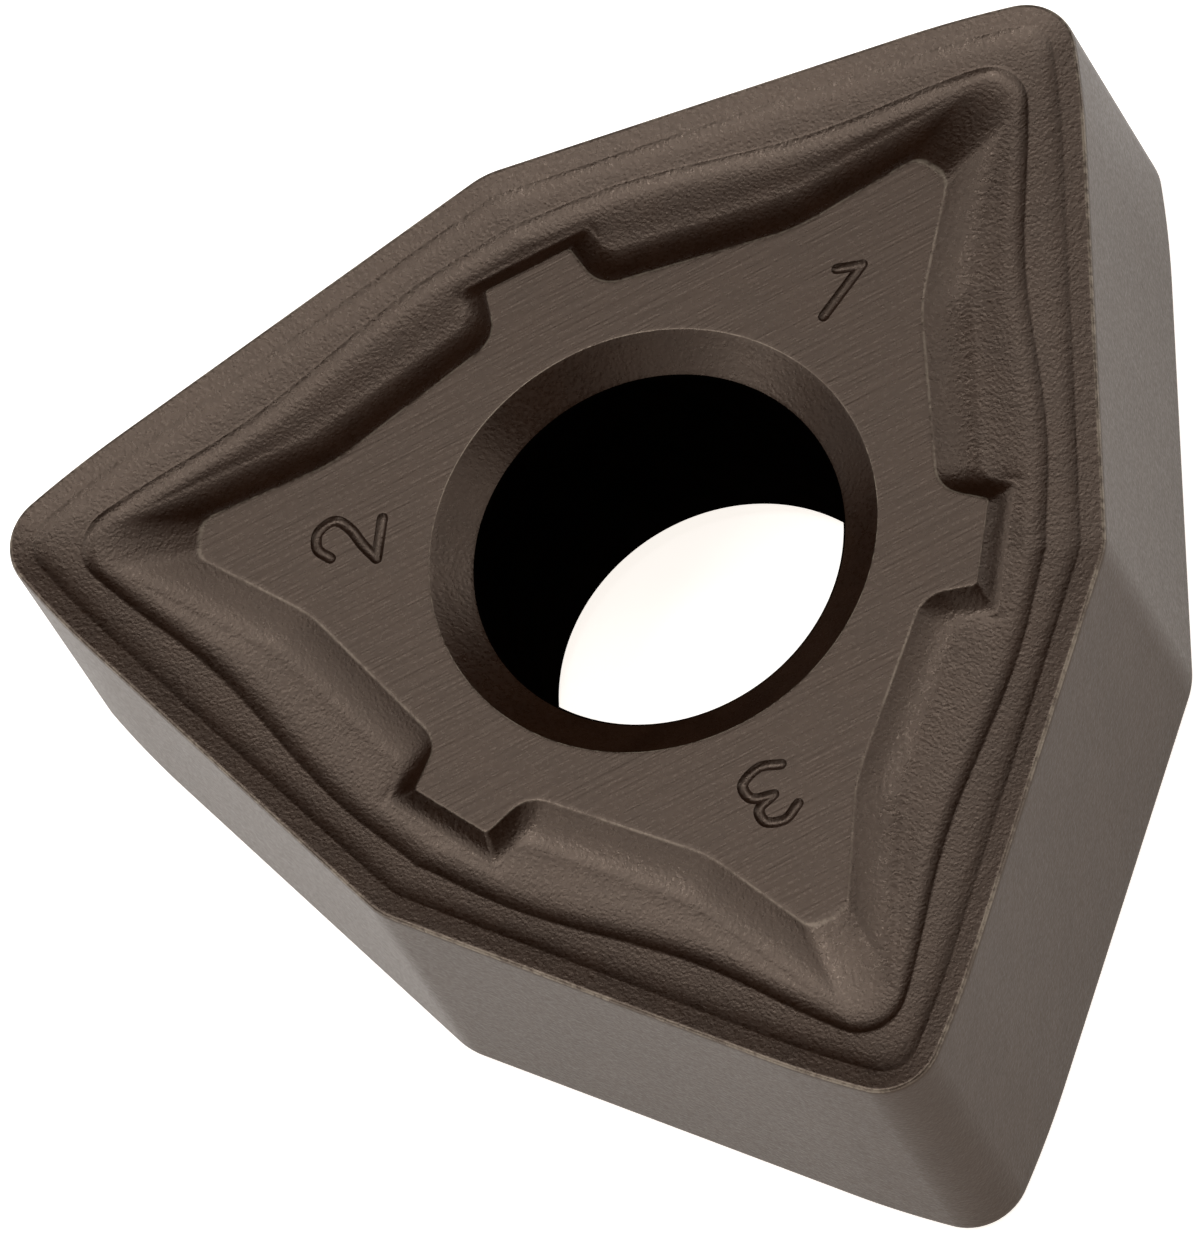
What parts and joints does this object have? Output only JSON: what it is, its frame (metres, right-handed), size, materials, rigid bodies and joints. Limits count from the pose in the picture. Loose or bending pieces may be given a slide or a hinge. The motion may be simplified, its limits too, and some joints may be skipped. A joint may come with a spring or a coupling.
{
  "type": "carbide insert",
  "caption": "Reversible trigon turning insert of coated carbide, with a countersunk clamping hole and a moulded chip breaker round the flat seat of each face.",
  "frame": {"origin": "on the axis of the clamping hole, halfway through the plate", "axes": "+Z along the hole's axis, square to the flat seats; +Y through one cutting nose; +X to the right of that nose"},
  "size_m": [0.0164, 0.0157, 0.0048],
  "materials": {
    "coated_carbide": "satin dark bronze-grey coating over sintered carbide, finely ground on the flat seats"
  },
  "bodies": {
    "root": {"insert": "coated_carbide"}
  },
  "joints": []
}
